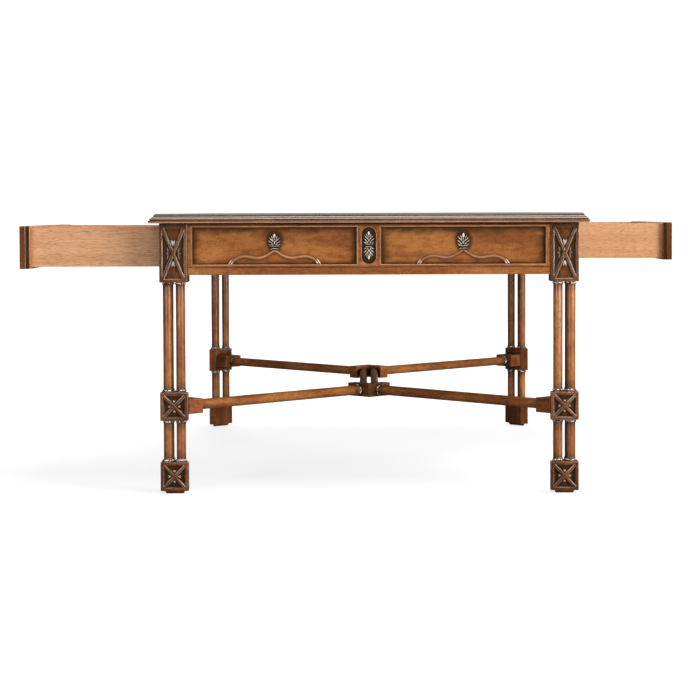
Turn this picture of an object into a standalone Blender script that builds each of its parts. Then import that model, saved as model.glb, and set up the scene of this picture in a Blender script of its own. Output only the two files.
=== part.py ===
"""Rectangular coffee table in the Gothic taste of Georgian chairmakers.

Four legs of three turned columns each, threaded through fretted blocks, carry a moulded top.
Two oak drawers slide out of opposite long sides, from diagonal bays. A double-Y stretcher
of round rods joins the legs. All lengths are in metres. X runs across the short ends, Y along
the long sides, and Z is up, with the origin on the floor under the middle of the top.
The drawers stand open, as far as they are usually shown, when their slides are at zero.
"""
import math

import bmesh
import bpy
from mathutils import Matrix, Vector

# Whole table
table_height = 0.508
leg_spacing_x = 0.707
leg_spacing_y = 1.135
leg_width = 0.0505
fit_gap = 0.0003
cut_overrun = 0.002
weld_distance = 0.00002

# Top, with an ovolo and cove worked on its edge
top_thickness = 0.0173
top_overhang = 0.0178
edge_projection = 0.0127
edge_inset_shares = (1, 0.93, 0.76, 0.6, 0.52, 0.41, 0.24, 0.08, 0, 0.03, 0.2)
edge_drop_shares = (0, 0.05, 0.14, 0.27, 0.36, 0.38, 0.47, 0.61, 0.76, 0.88, 1)

# Leg blocks
capital_height = 0.1069
mid_block_bottom = 0.1332
mid_block_height = 0.0511
foot_block_top = 0.0576
plinth_height = 0.0054
plinth_upper_inset = 0.006
plinth_lower_inset = 0.0095
inner_chamfer = 0.0335
fret_border = 0.0055
fret_head_border = 0.0083
fret_depth = 0.004
fret_bar_width = 0.005

# Leg columns
column_diameter = 0.0169
column_spacing = 0.0234
column_collar_diameter = 0.0204
column_collar_height = 0.0062
column_dowel_diameter = 0.011
column_dowel_length = 0.012
turned_sides = 12
sharp_edge_angle = math.radians(50)

# Stretcher
rod_height = 0.157
rod_diameter = 0.019
rod_collar_diameter = 0.023
rod_collar_height = 0.0045
rod_dowel_diameter = 0.012
rod_dowel_length = 0.013
socket_length = 0.034
socket_height = 0.027
hub_wing_length = 0.0594
hub_wing_thickness = 0.022
hub_height = 0.026
bar_diameter = 0.0155
bar_spacing = 0.0228

# Aprons, side rails and stiles
apron_height = 0.0937
apron_recess = 0.002
end_apron_thickness = 0.02
end_rail_height = 0.0133
end_rail_quirk = 0.0012
side_rail_height = 0.01
side_board_thickness = 0.018
stile_width = 0.041
panel_rise = 0.0175
panel_head_margin = 0.0044
panel_leg_margin = 0.0078
panel_depth = 0.005
bead_diameter = 0.0032
bead_outset = 0.0006
bead_stand = 0.0004
bead_segments = 1
tablet_width = 0.0269
tablet_end_margin = 0.00105
tablet_depth = 0.004
tablet_end_steps = 6

# Ogee moulding and carved cone on each panel
ogee_half_span = 0.0825
ogee_height = 0.0285
ogee_strand = 0.0047
ogee_stand = 0.0008
ogee_across_shares = (1.02, 0.9, 0.78, 0.65, 0.5, 0.385, 0.275, 0.16, 0)
ogee_rise_shares = (-0.05, 0.24, 0.5, 0.61, 0.57, 0.51, 0.57, 0.73, 1)
cone_width = 0.0213
cone_height = 0.0265
cone_relief = 0.009
cone_segments = 8
cone_rings = 6
tablet_cone_width = 0.0165
tablet_cone_height = 0.0225
tablet_cone_relief = 0.005

# Drawers
drawer_opening = 0.2635
drawer_front_head_gap = 0.0047
drawer_front_lift = 0.0005
drawer_front_side_gap = 0.0035
drawer_front_border = 0.0045
drawer_side_inset = 0.014
drawer_side_rise = 0.0035
drawer_side_drop = 0.0012
drawer_side_thickness = 0.011
drawer_length = 0.56
drawer_back_thickness = 0.011
drawer_bottom_thickness = 0.006
drawer_bottom_rise = 0.0045
drawer_groove_depth = 0.005

# Drawer runners, each with a ledge, a guide and a kicker
runner_bottom_rise = 0.002
runner_ledge_reach = 0.0135
runner_guide_gap = 0.0005

# Turns
half_turn = math.pi
quarter_turn = half_turn / 2
eighth_turn = half_turn / 4

# Places worked out from the sizes above
half_leg = leg_width / 2
top_underside = table_height - top_thickness
carcass_top = top_underside - fit_gap
leg_x = leg_spacing_x / 2
leg_y = leg_spacing_y / 2
inner_leg_x = leg_x - half_leg
inner_leg_y = leg_y - half_leg
side_face_x = leg_x + half_leg - apron_recess
side_inner_x = side_face_x - side_board_thickness
end_face_y = leg_y + half_leg - apron_recess
capital_bottom = top_underside - capital_height
apron_bottom = top_underside - apron_height
panel_bottom = apron_bottom + panel_rise
panel_top = top_underside - panel_head_margin
tablet_height = panel_top - panel_bottom - 2 * tablet_end_margin
mid_block_top = mid_block_bottom + mid_block_height
socket_width = inner_chamfer * math.sqrt(2)
chamfer_distance = (leg_width - inner_chamfer) / math.sqrt(2)
socket_start = chamfer_distance + fit_gap
socket_end = socket_start + socket_length
hub_reach = hub_wing_length / math.sqrt(2)
hub_band = hub_wing_thickness / math.sqrt(2)
hub_y = leg_y - leg_x
hub_face_distance = leg_x * math.sqrt(2) - hub_wing_length / 2
side_rail_top = apron_bottom + side_rail_height
drawer_front_bottom = side_rail_top + drawer_front_lift
drawer_front_top = top_underside - drawer_front_head_gap
drawer_front_near_y = stile_width / 2 + drawer_front_side_gap
drawer_front_far_y = inner_leg_y - drawer_front_side_gap
drawer_front_middle_y = (drawer_front_near_y + drawer_front_far_y) / 2
drawer_front_width = drawer_front_far_y - drawer_front_near_y
drawer_side_bottom = drawer_front_bottom + drawer_side_rise
drawer_side_top = drawer_front_top - drawer_side_drop
drawer_box_width = drawer_front_width - 2 * drawer_side_inset
drawer_side_start = side_board_thickness + fit_gap
drawer_side_end = drawer_side_start + drawer_length
drawer_floor = drawer_side_bottom + drawer_bottom_rise
cone_seat = ogee_height + ogee_strand / 2 + fit_gap


def clear_scene():
    for item in list(bpy.data.objects):
        bpy.data.objects.remove(item)


def new_collection(name):
    collection = bpy.data.collections.new(name)
    bpy.context.scene.collection.children.link(collection)
    return collection


def new_material(name, colour, roughness):
    material = bpy.data.materials.new(name)
    material.use_nodes = True
    shader = material.node_tree.nodes["Principled BSDF"]
    shader.inputs["Base Color"].default_value = (*colour, 1)
    shader.inputs["Roughness"].default_value = roughness
    shader.inputs["Metallic"].default_value = 0
    return material


def mesh_from(builder):
    mesh = bpy.data.meshes.new("shape")
    shape = bmesh.new()
    builder(shape)
    bmesh.ops.recalc_face_normals(shape, faces=shape.faces)
    shape.to_mesh(mesh)
    shape.free()
    return mesh


def box(x_range, y_range, z_range):
    """Mesh of a box from its three (low, high) ranges."""
    ranges = (x_range, y_range, z_range)
    middle = Vector([(low + high) / 2 for low, high in ranges])
    size = Vector([high - low for low, high in ranges])
    place = Matrix.Translation(middle) @ Matrix.Diagonal((*size, 1))
    return mesh_from(lambda shape: bmesh.ops.create_cube(shape, size=1, matrix=place))


def cylinder(diameter, length, place=Matrix.Identity(4)):
    """Mesh of a cylinder that starts at its own origin and runs along +Z, before it is placed."""
    place = place @ Matrix.Translation((0, 0, length / 2))
    return mesh_from(lambda shape: bmesh.ops.create_cone(
        shape, segments=turned_sides, cap_ends=True, depth=length,
        radius1=diameter / 2, radius2=diameter / 2, matrix=place))


def ellipsoid(centre, size):
    place = Matrix.Translation(centre) @ Matrix.Diagonal((*size, 1))
    return mesh_from(lambda shape: bmesh.ops.create_uvsphere(
        shape, u_segments=cone_segments, v_segments=cone_rings, radius=1 / 2, matrix=place))


def evaluated_mesh(item):
    bpy.context.view_layer.update()
    graph = bpy.context.evaluated_depsgraph_get()
    mesh = bpy.data.meshes.new_from_object(item.evaluated_get(graph))
    mesh.transform(item.matrix_world)
    bpy.data.objects.remove(item)
    return mesh


def temporary_object(data):
    item = bpy.data.objects.new("temporary", data)
    bpy.context.scene.collection.objects.link(item)
    return item


def welded(mesh):
    shape = bmesh.new()
    shape.from_mesh(mesh)
    bmesh.ops.remove_doubles(shape, verts=shape.verts, dist=weld_distance)
    bmesh.ops.dissolve_degenerate(shape, edges=shape.edges, dist=weld_distance)
    bmesh.ops.recalc_face_normals(shape, faces=shape.faces)
    shape.to_mesh(mesh)
    shape.free()
    return mesh


def combined(base, tools, operation):
    """Base mesh after a Boolean operation with each of the tool meshes, welded."""
    for tool in tools:
        base_item = temporary_object(base)
        tool_item = temporary_object(tool)
        step = base_item.modifiers.new("boolean", "BOOLEAN")
        step.operation = operation
        step.object = tool_item
        base = welded(evaluated_mesh(base_item))
        bpy.data.objects.remove(tool_item)
    return base


def prism(outline, z_range):
    """Mesh of a flat outline in X and Y, filled and raised from the low to the high Z."""
    curve = bpy.data.curves.new("outline", "CURVE")
    curve.dimensions = "2D"
    curve.fill_mode = "BOTH"
    curve.extrude = (z_range[1] - z_range[0]) / 2
    spline = curve.splines.new("POLY")
    spline.points.add(len(outline) - 1)
    for point, (x, y) in zip(spline.points, outline):
        point.co = (x, y, 0, 1)
    spline.use_cyclic_u = True
    item = temporary_object(curve)
    item.location.z = (z_range[0] + z_range[1]) / 2
    return welded(evaluated_mesh(item))


def swept(points, diameter, closed):
    """Mesh of a round strand along straight runs between the points."""
    curve = bpy.data.curves.new("strand", "CURVE")
    curve.dimensions = "3D"
    curve.bevel_depth = diameter / 2
    curve.bevel_resolution = bead_segments
    curve.use_fill_caps = not closed
    spline = curve.splines.new("POLY")
    spline.points.add(len(points) - 1)
    for point, place in zip(spline.points, points):
        point.co = (*place, 1)
    spline.use_cyclic_u = closed
    return welded(evaluated_mesh(temporary_object(curve)))


def turned(profile):
    """Mesh turned about Z from (radius, height) pairs that run from the top to the bottom."""
    mesh = bpy.data.meshes.new("profile")
    points = [(radius, 0, height) for radius, height in profile]
    mesh.from_pydata(points, [(i, i + 1) for i in range(len(points) - 1)], [])
    item = temporary_object(mesh)
    screw = item.modifiers.new("turn", "SCREW")
    screw.steps = turned_sides
    screw.render_steps = turned_sides
    screw.use_merge_vertices = True
    screw.merge_threshold = weld_distance
    turned_mesh = welded(evaluated_mesh(item))
    turned_mesh.shade_smooth()
    turned_mesh.set_sharp_from_angle(angle=sharp_edge_angle)
    return turned_mesh


def place(name, mesh, material, parent, location=(0, 0, 0), rotation=(0, 0, 0)):
    mesh.name = name
    if not mesh.materials:
        mesh.materials.append(material)
    item = bpy.data.objects.new(name, mesh)
    item.parent = parent
    item.location = location
    item.rotation_euler = rotation
    table.objects.link(item)
    return item


def place_empty(name, location, rotation=0):
    empty = bpy.data.objects.new(name, None)
    empty.location = location
    empty.rotation_euler.z = rotation
    empty.empty_display_size = leg_width
    table.objects.link(empty)
    return empty


def facing_minus_y(middle, depth):
    """Turns a shape drawn in X and Y, raised along Z, to stand upright and face -Y."""
    upright = Matrix.Rotation(quarter_turn, 4, "X")
    return Matrix.Translation((middle[0], depth, middle[1])) @ upright


def moulded_top_mesh():
    """Loft between rectangles that shrink and drop along the worked edge."""
    half_x = leg_x + half_leg + top_overhang
    half_y = leg_y + half_leg + top_overhang

    def build(shape):
        rings = []
        for inset_share, drop_share in zip(edge_inset_shares, edge_drop_shares):
            x = half_x - inset_share * edge_projection
            y = half_y - inset_share * edge_projection
            z = table_height - drop_share * top_thickness
            corners = ((-x, -y), (x, -y), (x, y), (-x, y))
            rings.append([shape.verts.new((*corner, z)) for corner in corners])
        shape.faces.new(rings[0])
        shape.faces.new(rings[-1])
        for upper, lower in zip(rings, rings[1:]):
            for i in range(len(upper)):
                j = (i + 1) % len(upper)
                shape.faces.new((upper[i], upper[j], lower[j], lower[i]))

    return mesh_from(build)


def chamfered_outline(inset):
    """Plan of a block whose inner corner, at +X +Y, is cut off at 45 degrees."""
    side = half_leg - inset
    cut = side - inner_chamfer + inset * (2 - math.sqrt(2))
    return ((-side, -side), (side, -side), (side, cut), (cut, side), (-side, side))


def chamfered_frustum(lower_inset, upper_inset, z_range):
    lower = chamfered_outline(lower_inset)
    upper = chamfered_outline(upper_inset)

    def build(shape):
        bottom = [shape.verts.new((*point, z_range[0])) for point in lower]
        head = [shape.verts.new((*point, z_range[1])) for point in upper]
        shape.faces.new(bottom)
        shape.faces.new(head)
        for i in range(len(bottom)):
            j = (i + 1) % len(bottom)
            shape.faces.new((bottom[i], bottom[j], head[j], head[i]))

    return mesh_from(build)


def fret_pockets(z_range, head_border):
    """Four three-sided pockets that leave a border and a diagonal cross on the -Y face."""
    low, high = z_range[0] + fret_border, z_range[1] - head_border
    half_width, half_height = half_leg - fret_border, (high - low) / 2
    lean = math.atan2(half_width, half_height)
    crotch_z = fret_bar_width / 2 / math.sin(lean)
    crotch_x = fret_bar_width / 2 / math.cos(lean)
    reach_x = (half_height - crotch_z) * math.tan(lean)
    reach_z = (half_width - crotch_x) / math.tan(lean)
    outlines = []
    for side in (-1, 1):
        outlines.append(((0, side * crotch_z), (reach_x, side * half_height),
                         (-reach_x, side * half_height)))
        outlines.append(((side * crotch_x, 0), (side * half_width, reach_z),
                         (side * half_width, -reach_z)))
    stand_up = facing_minus_y((0, (low + high) / 2), -half_leg)
    pockets = [prism(outline, (-fret_depth, cut_overrun)) for outline in outlines]
    for pocket in pockets:
        pocket.transform(stand_up)
    return pockets


def fretted(block, z_range, head_border):
    """Cuts the pockets of the fret into the block's two outer faces, -Y and -X."""
    end_pockets = fret_pockets(z_range, head_border)
    side_pockets = fret_pockets(z_range, head_border)
    for pocket in side_pockets:
        pocket.transform(Matrix.Rotation(-quarter_turn, 4, "Z"))
    return combined(block, end_pockets + side_pockets, "DIFFERENCE")


def column_places():
    """Leg-frame places of the three columns: outer corner, along the end and along the side."""
    half = column_spacing / 2
    return {"corner": (-half, -half), "end": (half, -half), "side": (-half, half)}


def column_bores(z_range):
    bore = column_dowel_diameter + 2 * fit_gap
    places = column_places().values()
    return [cylinder(bore, z_range[1] - z_range[0], Matrix.Translation((*spot, z_range[0])))
            for spot in places]


def capital_mesh():
    z_range = (capital_bottom, carcass_top)
    block = box((-half_leg, half_leg), (-half_leg, half_leg), z_range)
    block = fretted(block, z_range, fret_head_border)
    bores = column_bores((capital_bottom - cut_overrun,
                          capital_bottom + column_dowel_length + fit_gap))
    return combined(block, bores, "DIFFERENCE")


def mid_block_mesh():
    z_range = (mid_block_bottom, mid_block_top)
    block = prism(chamfered_outline(0), z_range)
    block = fretted(block, z_range, fret_border)
    bores = column_bores((mid_block_bottom - cut_overrun, mid_block_top + cut_overrun))
    return combined(block, bores, "DIFFERENCE")


def foot_block_mesh():
    z_range = (plinth_height, foot_block_top)
    block = prism(chamfered_outline(0), z_range)
    block = fretted(block, z_range, fret_border)
    plinth = chamfered_frustum(plinth_lower_inset, plinth_upper_inset,
                               (0, plinth_height + cut_overrun))
    block = combined(block, [plinth], "UNION")
    bores = column_bores((foot_block_top - column_dowel_length - fit_gap,
                          foot_block_top + cut_overrun))
    return combined(block, bores, "DIFFERENCE")


def collar_profile(face, towards_shaft, core, bead, shaft, height):
    """Points of a turned collar from its flat face at a block to the shaft it ends."""
    lip = (bead + shaft) / 2
    return [(core / 2, face), (lip / 2, face),
            (bead / 2, face + towards_shaft * height / 2),
            (shaft / 2, face + towards_shaft * height)]


def column_mesh():
    """One turned column from the foot block's bore, through the mid block, to the capital."""
    sizes = (column_dowel_diameter, column_collar_diameter, column_diameter,
             column_collar_height)
    head = capital_bottom - fit_gap
    above_mid = mid_block_top + fit_gap
    below_mid = mid_block_bottom - fit_gap
    base = foot_block_top + fit_gap
    head_end = head + column_dowel_length
    base_end = base - column_dowel_length
    profile = [(0, head_end), (column_dowel_diameter / 2, head_end)]
    profile += collar_profile(head, -1, *sizes)
    profile += reversed(collar_profile(above_mid, 1, *sizes))
    profile += collar_profile(below_mid, -1, *sizes)
    profile += reversed(collar_profile(base, 1, *sizes))
    profile += [(column_dowel_diameter / 2, base_end), (0, base_end)]
    return turned(profile)


def along_diagonal(distance, height):
    """Leg-frame matrix whose +Z runs along the inner diagonal, at a distance from the leg."""
    step = distance / math.sqrt(2)
    turn = Matrix.Rotation(eighth_turn, 4, "Z") @ Matrix.Rotation(quarter_turn, 4, "Y")
    return Matrix.Translation((step, step, height)) @ turn


def rod_mesh():
    """One turned rod, drawn upright: its lower dowel fits the socket and its upper the hub."""
    sizes = (rod_dowel_diameter, rod_collar_diameter, rod_diameter, rod_collar_height)
    length = hub_face_distance - socket_end - 2 * fit_gap
    profile = [(0, length + rod_dowel_length), (rod_dowel_diameter / 2, length + rod_dowel_length)]
    profile += collar_profile(length, -1, *sizes)
    profile += reversed(collar_profile(0, 1, *sizes))
    profile += [(rod_dowel_diameter / 2, -rod_dowel_length), (0, -rod_dowel_length)]
    return turned(profile)


def socket_mesh():
    """Block glued on the mid block's chamfer, drawn with its length along X."""
    block = box((0, socket_length), (-socket_width / 2, socket_width / 2),
                (-socket_height / 2, socket_height / 2))
    depth = rod_dowel_length + fit_gap
    bore_place = (Matrix.Translation((socket_length - depth, 0, 0))
                  @ Matrix.Rotation(quarter_turn, 4, "Y"))
    bore = cylinder(rod_dowel_diameter + 2 * fit_gap, depth + cut_overrun, bore_place)
    return combined(block, [bore], "DIFFERENCE")


def hub_mesh():
    """V of two wings, with its corner towards -Y; its origin is where the rods' lines cross."""
    outline = ((0, -hub_reach), (hub_reach, 0), (hub_reach - hub_band, hub_band),
               (0, 2 * hub_band - hub_reach), (hub_band - hub_reach, hub_band), (-hub_reach, 0))
    block = prism(outline, (-hub_height / 2, hub_height / 2))
    depth = rod_dowel_length + fit_gap
    for side in (-1, 1):
        turn = (Matrix.Rotation(quarter_turn + side * eighth_turn, 4, "Z")
                @ Matrix.Rotation(quarter_turn, 4, "Y"))
        face_middle = Matrix.Translation((side * hub_reach / 2, -hub_reach / 2, 0))
        bore_place = face_middle @ turn @ Matrix.Translation((0, 0, -cut_overrun))
        bore = cylinder(rod_dowel_diameter + 2 * fit_gap, depth + cut_overrun, bore_place)
        block = combined(block, [bore], "DIFFERENCE")
    return block


def bar_mesh(middle_x):
    """Round bar between the two hubs, its ends mitred against their inner faces."""
    corner_y = hub_y + hub_reach - 2 * hub_band
    turn = Matrix.Rotation(quarter_turn, 4, "X")
    mesh = cylinder(bar_diameter, corner_y, turn)
    for vertex in mesh.vertices:
        reach = corner_y - abs(vertex.co.x + middle_x) - fit_gap * math.sqrt(2)
        vertex.co.y = reach if vertex.co.y > -corner_y / 2 else -reach
    mesh.shade_smooth()
    mesh.set_sharp_from_angle(angle=sharp_edge_angle)
    return mesh


def ogee_points(middle_x, base_z, depth):
    """Places along the accolade: up over a hump, down a little and up to its point."""
    shares = list(zip(ogee_across_shares, ogee_rise_shares))
    left = [(middle_x - across * ogee_half_span, depth, base_z + rise * ogee_height)
            for across, rise in shares]
    right = [(middle_x + across * ogee_half_span, depth, base_z + rise * ogee_height)
             for across, rise in reversed(shares[:-1])]
    return left + right


def bead_ring(x_range, z_range):
    """Round bead standing on the rim of a panel that is sunk into a face at y = 0."""
    low_x, high_x = x_range[0] - bead_outset, x_range[1] + bead_outset
    low_z, high_z = z_range[0] - bead_outset, z_range[1] + bead_outset
    corners = ((low_x, low_z), (high_x, low_z), (high_x, high_z), (low_x, high_z))
    return swept([(x, -bead_stand, z) for x, z in corners], bead_diameter, closed=True)


def panelled(board, x_range, z_range, with_cone):
    """Sinks a panel into a board that faces -Y at y = 0, beads its edge and adds the ogee."""
    field = box(x_range, (-cut_overrun, panel_depth), z_range)
    board = combined(board, [field], "DIFFERENCE")
    middle_x = (x_range[0] + x_range[1]) / 2
    strand_depth = panel_depth - ogee_stand
    additions = [bead_ring(x_range, z_range),
                 swept(ogee_points(middle_x, z_range[0], strand_depth), ogee_strand, closed=False)]
    if with_cone:
        additions.append(cone_mesh(middle_x, z_range[0], cut_overrun))
    return combined(board, additions, "UNION")


def cone_mesh(middle_x, base_z, sink):
    """Rough form of the carved cone over the ogee's point, sunk behind the panel's ground."""
    centre = (middle_x, panel_depth + sink, base_z + cone_seat + cone_height / 2 - sink)
    return ellipsoid(centre, (cone_width, 2 * (cone_relief + sink), cone_height))


def with_tablet(board, middle_z):
    """Sinks a round-ended tablet at x = 0 and leaves two cones standing in it, tip to tip."""
    radius = tablet_width / 2
    straight = tablet_height / 2 - radius
    outline = []
    for end, start_angle in ((1, 0), (-1, half_turn)):
        for step in range(tablet_end_steps + 1):
            angle = start_angle + half_turn * step / tablet_end_steps
            outline.append((radius * math.cos(angle), end * straight + radius * math.sin(angle)))
    cutter = prism(outline, (-tablet_depth, cut_overrun))
    cutter.transform(facing_minus_y((0, middle_z), 0))
    board = combined(board, [cutter], "DIFFERENCE")
    cones = []
    for side in (-1, 1):
        centre = (0, tablet_depth + cut_overrun, middle_z + side * tablet_cone_height / 2)
        size = (tablet_cone_width, 2 * (tablet_cone_relief + cut_overrun),
                tablet_cone_height + cut_overrun)
        cones.append(ellipsoid(centre, size))
    return combined(board, cones, "UNION")


def end_apron_mesh():
    """Apron between two capitals, with two mock drawer panels and a carved tablet."""
    end_x = inner_leg_x - fit_gap
    board = box((-end_x, end_x), (0, end_apron_thickness), (apron_bottom, carcass_top))
    quirk_z = apron_bottom + end_rail_height
    quirk = box((-end_x - cut_overrun, end_x + cut_overrun), (-cut_overrun, end_rail_quirk),
                (quirk_z - end_rail_quirk / 2, quirk_z + end_rail_quirk / 2))
    board = combined(board, [quirk], "DIFFERENCE")
    panel_z = (panel_bottom, panel_top)
    near_x, far_x = stile_width / 2, inner_leg_x - panel_leg_margin
    for x_range in ((-far_x, -near_x), (near_x, far_x)):
        board = panelled(board, x_range, panel_z, with_cone=True)
    return with_tablet(board, sum(panel_z) / 2)


def drawer_front_mesh(with_cone):
    """Board that faces -Y at y = 0, used for the drawer fronts and the false fronts."""
    half = drawer_front_width / 2
    board = box((-half, half), (0, side_board_thickness), (drawer_front_bottom, drawer_front_top))
    return panelled(board, (drawer_front_border - half, half - drawer_front_border),
                    (drawer_front_bottom + drawer_front_border,
                     drawer_front_top - drawer_front_border),
                    with_cone)


def stile_mesh():
    """Upright between the two bays of a long side, facing -Y at y = 0."""
    z_range = (side_rail_top + fit_gap, carcass_top)
    board = box((-stile_width / 2, stile_width / 2), (0, side_board_thickness), z_range)
    return with_tablet(board, (drawer_front_bottom + drawer_front_top) / 2)


def pull_mesh():
    """Carved cone that serves as the pull, flat where it sits on the panel's ground."""
    base_z = drawer_front_bottom + drawer_front_border
    seat = panel_depth - fit_gap
    cone = cone_mesh(0, base_z, 0)
    cutter = box((-cone_width, cone_width), (seat, seat + cone_relief + cut_overrun),
                 (base_z, base_z + cone_seat + cone_height + cut_overrun))
    return combined(cone, [cutter], "DIFFERENCE")


def drawer_side_mesh(groove_side):
    """Side board with a groove for the bottom; groove_side is the way the groove faces in X."""
    outer = drawer_side_thickness / 2
    board = box((-outer, outer), (drawer_side_start, drawer_side_end),
                (drawer_side_bottom, drawer_side_top))
    inner = groove_side * (outer - drawer_groove_depth)
    face = groove_side * (outer + cut_overrun)
    groove = box((min(inner, face), max(inner, face)),
                 (drawer_side_start - cut_overrun, drawer_side_end + cut_overrun),
                 (drawer_floor - fit_gap, drawer_floor + drawer_bottom_thickness + fit_gap))
    return combined(board, [groove], "DIFFERENCE")


def drawer_back_mesh():
    half = drawer_box_width / 2 - drawer_side_thickness - fit_gap
    low = drawer_floor + drawer_bottom_thickness + fit_gap
    return box((-half, half), (drawer_side_end - drawer_back_thickness, drawer_side_end),
               (low, drawer_side_top))


def drawer_bottom_mesh():
    half = drawer_box_width / 2 - drawer_side_thickness + drawer_groove_depth - fit_gap
    return box((-half, half), (drawer_side_start, drawer_side_end),
               (drawer_floor, drawer_floor + drawer_bottom_thickness))


def runner_outline(outer_y, drawer_face_y):
    """Section of a runner, open towards +Y: ledge under the drawer side, guide and kicker."""
    low = apron_bottom + runner_bottom_rise
    ledge = drawer_side_bottom - fit_gap
    kicker = drawer_side_top + fit_gap
    guide_y = drawer_face_y - runner_guide_gap
    reach_y = drawer_face_y + runner_ledge_reach
    return [(outer_y, low), (reach_y, low), (reach_y, ledge), (guide_y, ledge),
            (guide_y, kicker), (reach_y, kicker), (reach_y, carcass_top), (outer_y, carcass_top)]


def runner_mesh(outline):
    """Runner along X between the boards of the two long sides, from its (Y, Z) section."""
    half = side_inner_x - fit_gap
    mesh = prism(outline, (-half, half))
    swap = Matrix(((0, 0, 1, 0), (1, 0, 0, 0), (0, 1, 0, 0), (0, 0, 0, 1)))
    mesh.transform(swap)
    return mesh


def build_leg(corner, empty, shapes):
    place(f"capital_{corner}", shapes["capital"], mahogany, empty)
    place(f"mid_block_{corner}", shapes["mid_block"], mahogany, empty)
    place(f"foot_block_{corner}", shapes["foot_block"], mahogany, empty)
    for spot, (x, y) in column_places().items():
        place(f"column_{corner}_{spot}", shapes["column"], mahogany, empty, (x, y, 0))
    socket_place = along_diagonal(socket_start, rod_height).translation
    place(f"rod_socket_{corner}", shapes["socket"], mahogany, empty, socket_place,
          (0, 0, eighth_turn))
    rod_place = along_diagonal(socket_end + fit_gap, rod_height)
    place(f"stretcher_rod_{corner}", shapes["rod"], mahogany, empty, rod_place.translation,
          rod_place.to_euler())


def build_legs():
    shapes = {"capital": capital_mesh(), "mid_block": mid_block_mesh(),
              "foot_block": foot_block_mesh(), "column": column_mesh(),
              "socket": socket_mesh(), "rod": rod_mesh()}
    corners = (("near_left", -1, -1), ("near_right", 1, -1), ("far_right", 1, 1),
               ("far_left", -1, 1))
    for quarter, (corner, x_side, y_side) in enumerate(corners):
        spot = (x_side * leg_x, y_side * leg_y, 0)
        empty = place_empty(f"leg_{corner}", spot, quarter_turn * quarter)
        build_leg(corner, empty, shapes)


def build_stretcher_middle():
    hub = hub_mesh()
    place("stretcher_hub_near", hub, mahogany, None, (0, -hub_y, rod_height))
    place("stretcher_hub_far", hub, mahogany, None, (0, hub_y, rod_height),
          (0, 0, half_turn))
    for name, side in (("left", -1), ("right", 1)):
        middle_x = side * bar_spacing / 2
        place(f"stretcher_bar_{name}", bar_mesh(middle_x), mahogany, None,
              (middle_x, 0, rod_height))


def build_carcass():
    place("table_top", moulded_top_mesh(), mahogany, None)
    apron = end_apron_mesh()
    stile = stile_mesh()
    false_front = drawer_front_mesh(with_cone=True)
    place("end_apron_near", apron, mahogany, None, (0, -end_face_y, 0))
    place("end_apron_far", apron, mahogany, None, (0, end_face_y, 0), (0, 0, half_turn))
    rail_end = inner_leg_y - fit_gap
    rail = box((-rail_end, rail_end), (0, side_board_thickness), (apron_bottom, side_rail_top))
    for name, side in (("left", -1), ("right", 1)):
        face = (side * side_face_x, 0, 0)
        turn = (0, 0, quarter_turn * side)
        place(f"side_rail_{name}", rail, mahogany, None, face, turn)
        place(f"side_stile_{name}", stile, mahogany, None, face, turn)
        bay = "far" if side < 0 else "near"
        place(f"false_front_{name}_{bay}", false_front, mahogany, None,
              (side * side_face_x, -side * drawer_front_middle_y, 0), turn)


def build_runners():
    outer_y = -(inner_leg_y - fit_gap)
    drawer_face_y = -(drawer_front_far_y - drawer_side_inset)
    end_section = runner_outline(outer_y, drawer_face_y)
    place("runner_near_end", runner_mesh(end_section), oak, None)
    place("runner_far_end", runner_mesh([(-y, z) for y, z in reversed(end_section)]), oak, None)
    inner_face_y = drawer_front_near_y + drawer_side_inset
    half_section = runner_outline(0, inner_face_y)[1:-1]
    centre_section = half_section + [(-y, z) for y, z in reversed(half_section)]
    place("runner_centre", runner_mesh(centre_section), oak, None)


def build_drawer(side_name, side, shapes):
    """One drawer; its slide's empty turns local -Y, the way it opens, towards its long side."""
    spot = (side * (side_face_x + drawer_opening), side * drawer_front_middle_y, 0)
    slide = place_empty(f"{side_name}_drawer_slide", spot, quarter_turn * side)
    place(f"{side_name}_drawer_front", shapes["front"], mahogany, slide)
    place(f"{side_name}_drawer_pull", shapes["pull"], mahogany, slide)
    place(f"{side_name}_drawer_back", shapes["back"], oak, slide)
    place(f"{side_name}_drawer_bottom", shapes["bottom"], oak, slide)
    board_x = (drawer_box_width - drawer_side_thickness) / 2
    sides = (("near", side, shapes["side"][side]), ("far", -side, shapes["side"][-side]))
    for name, local_side, mesh in sides:
        place(f"{side_name}_drawer_{name}_side", mesh, oak, slide, (-local_side * board_x, 0, 0))


def build_drawers():
    shapes = {"front": drawer_front_mesh(with_cone=False), "pull": pull_mesh(),
              "back": drawer_back_mesh(), "bottom": drawer_bottom_mesh(),
              "side": {way: drawer_side_mesh(way) for way in (-1, 1)}}
    build_drawer("left", -1, shapes)
    build_drawer("right", 1, shapes)


clear_scene()
table = new_collection("coffee_table")
mahogany = new_material("antiqued_mahogany", (0.19, 0.075, 0.026), 0.4)
oak = new_material("pale_oak", (0.62, 0.38, 0.19), 0.6)
build_legs()
build_stretcher_middle()
build_carcass()
build_runners()
build_drawers()
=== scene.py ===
"""Looks of the clustered-leg coffee table: antiqued mahogany, pale oak and fine carving.

Boards, blocks and turnings are drawn in the frame of the board or leg they belong to. A board
faces -Y at y = 0, with X along it and Z up from the floor. A leg has its fretted faces to -X and
-Y, and its stretcher leaves towards +X +Y. Lengths are in metres.
"""

import math
from functools import partial

import bmesh
import bpy
from mathutils import Matrix, Vector


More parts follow.
